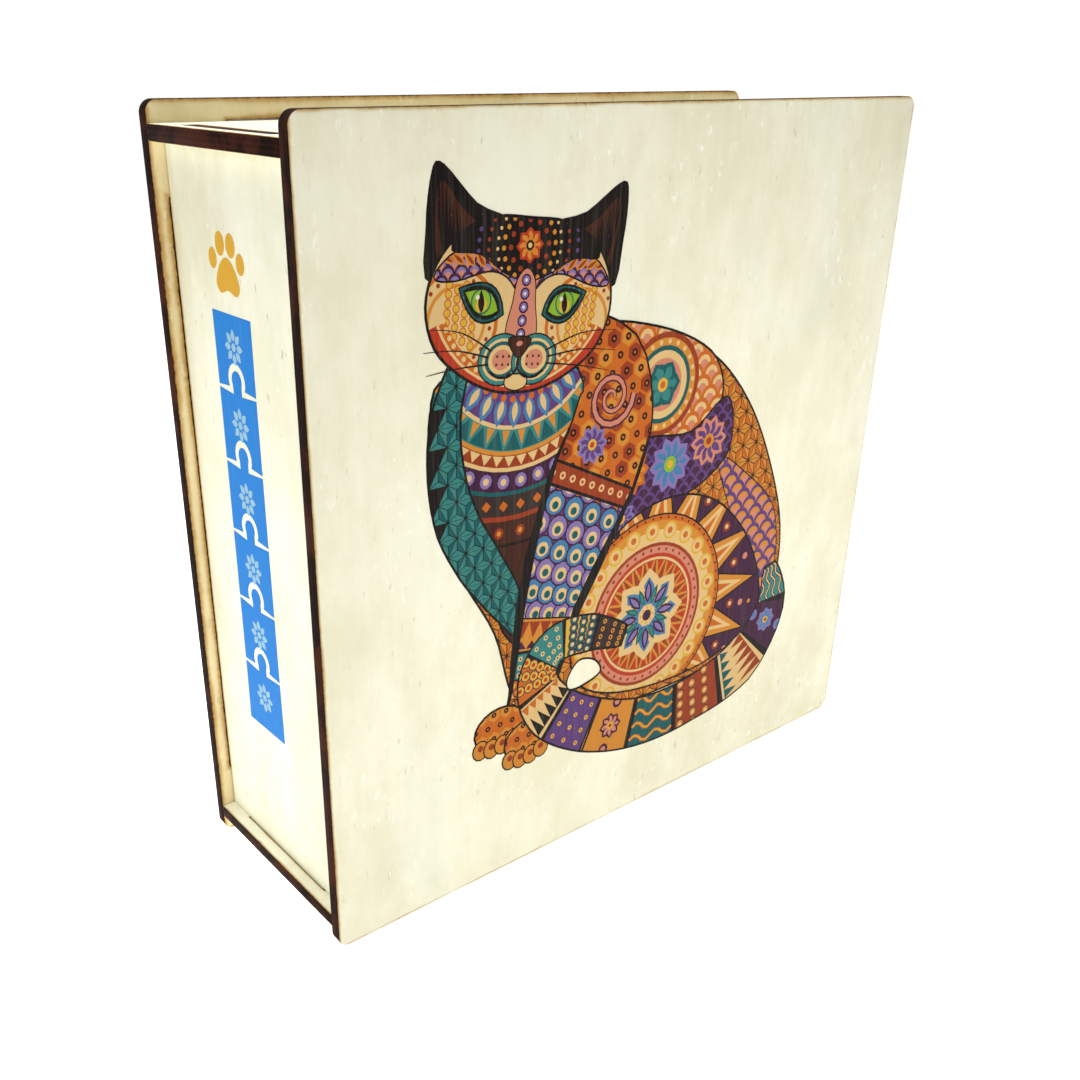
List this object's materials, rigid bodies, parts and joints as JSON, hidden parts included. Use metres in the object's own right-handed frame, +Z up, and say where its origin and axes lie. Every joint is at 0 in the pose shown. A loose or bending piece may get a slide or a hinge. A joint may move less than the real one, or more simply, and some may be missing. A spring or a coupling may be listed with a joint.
{
  "type": "boxed jigsaw puzzle",
  "caption": "Square laser-cut plywood case with a lift-off front cover, holding a press-seal bag of loose wooden jigsaw pieces and a picture card.",
  "frame": {"origin": "middle of the footprint, on the surface that the case stands on", "axes": "+X along the front cover's width to the viewer's right, +Y from the front cover to the back cover, +Z up"},
  "size_m": [0.16, 0.054, 0.158],
  "materials": {
    "plywood": "bare basswood plywood with dark laser-burnt edges",
    "picture_plywood": "plywood printed on one face, with dark laser-burnt edges",
    "clear_film": "clear polythene film",
    "zip_plastic": "clear moulded zip",
    "coated_card": "printed card with a thin coating"
  },
  "bodies": {
    "case": {"back_cover": "plywood", "top_wall": "plywood", "bottom_wall": "plywood", "left_wall": "plywood", "right_wall": "plywood"},
    "lid": {"front_cover": "plywood", "lid_board": "plywood"},
    "bag": {"bag_front_film": "clear_film", "bag_back_film": "clear_film", "zip_rail_front": "zip_plastic", "zip_rail_back": "zip_plastic", "puzzle_piece_01": "picture_plywood", "puzzle_piece_02": "picture_plywood", "puzzle_piece_03": "picture_plywood", "puzzle_piece_04": "picture_plywood", "puzzle_piece_05": "picture_plywood", "puzzle_piece_06": "picture_plywood", "puzzle_piece_07": "picture_plywood", "puzzle_piece_08": "picture_plywood", "puzzle_piece_09": "picture_plywood", "puzzle_piece_10": "picture_plywood", "puzzle_piece_11": "picture_plywood", "puzzle_piece_12": "picture_plywood", "puzzle_piece_13": "picture_plywood", "puzzle_piece_14": "picture_plywood", "puzzle_piece_15": "picture_plywood", "puzzle_piece_16": "picture_plywood", "puzzle_piece_17": "picture_plywood", "puzzle_piece_18": "picture_plywood", "puzzle_piece_19": "picture_plywood", "puzzle_piece_20": "picture_plywood", "puzzle_piece_21": "picture_plywood", "puzzle_piece_22": "picture_plywood", "puzzle_piece_23": "picture_plywood", "puzzle_piece_24": "picture_plywood", "puzzle_piece_25": "picture_plywood", "puzzle_piece_26": "picture_plywood", "puzzle_piece_27": "picture_plywood", "puzzle_piece_28": "picture_plywood", "puzzle_piece_29": "picture_plywood", "puzzle_piece_30": "picture_plywood", "puzzle_piece_31": "picture_plywood", "puzzle_piece_32": "picture_plywood", "puzzle_piece_33": "picture_plywood", "puzzle_piece_34": "picture_plywood", "puzzle_piece_35": "picture_plywood", "puzzle_piece_36": "picture_plywood"},
    "card": {"picture_card": "coated_card"}
  },
  "joints": [
    {"name": "lid_lift", "type": "slide", "parent": "case", "child": "lid", "axis": [0, -1, 0], "range_m": [0, 0.036]},
    {"name": "bag_out", "type": "slide", "parent": "case", "child": "bag", "axis": [0, -1, 0], "range_m": [0, 0.018]},
    {"name": "card_out", "type": "slide", "parent": "case", "child": "card", "axis": [0, -1, 0], "range_m": [0, 0.0072]}
  ],
  "couplings": [
    {"joint": "bag_out", "follows": "lid_lift", "ratio": 0.5},
    {"joint": "card_out", "follows": "lid_lift", "ratio": 0.2}
  ]
}
